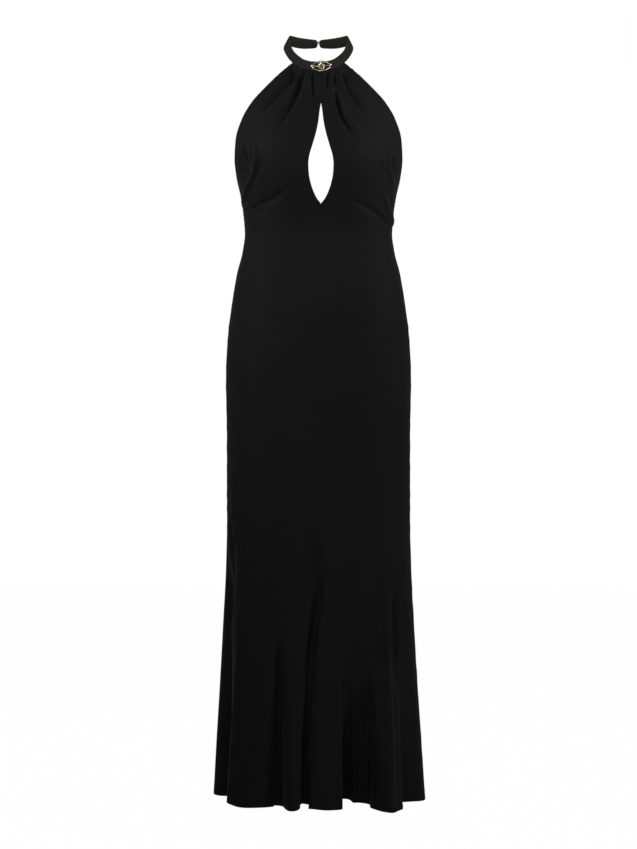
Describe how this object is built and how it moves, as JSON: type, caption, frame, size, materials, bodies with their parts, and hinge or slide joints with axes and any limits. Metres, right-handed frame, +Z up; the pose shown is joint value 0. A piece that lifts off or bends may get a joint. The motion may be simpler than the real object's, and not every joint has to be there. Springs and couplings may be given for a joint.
{
  "type": "long halter-neck dress",
  "caption": "Long fitted halter-neck dress in matte crepe with a gathered front, a teardrop keyhole, an open low back, a hook-and-eye neck band and a gold front ornament.",
  "frame": {"origin": "centre of the neck ring, where the wearer's neck holds the dress up", "axes": "+Z up, +Y to the wearer's back, +X to the wearer's left"},
  "size_m": [0.3797, 0.2735, 1.3834],
  "materials": {
    "crepe": "matte black crepe with a soft drape",
    "gold": "polished pale gold plating",
    "steel": "plain nickel-plated wire"
  },
  "bodies": {
    "root": {"neck_band": "crepe", "front": "crepe", "back_left": "crepe", "back_right": "crepe", "ornament": "gold", "hook": "steel", "eye": "steel"}
  },
  "joints": []
}
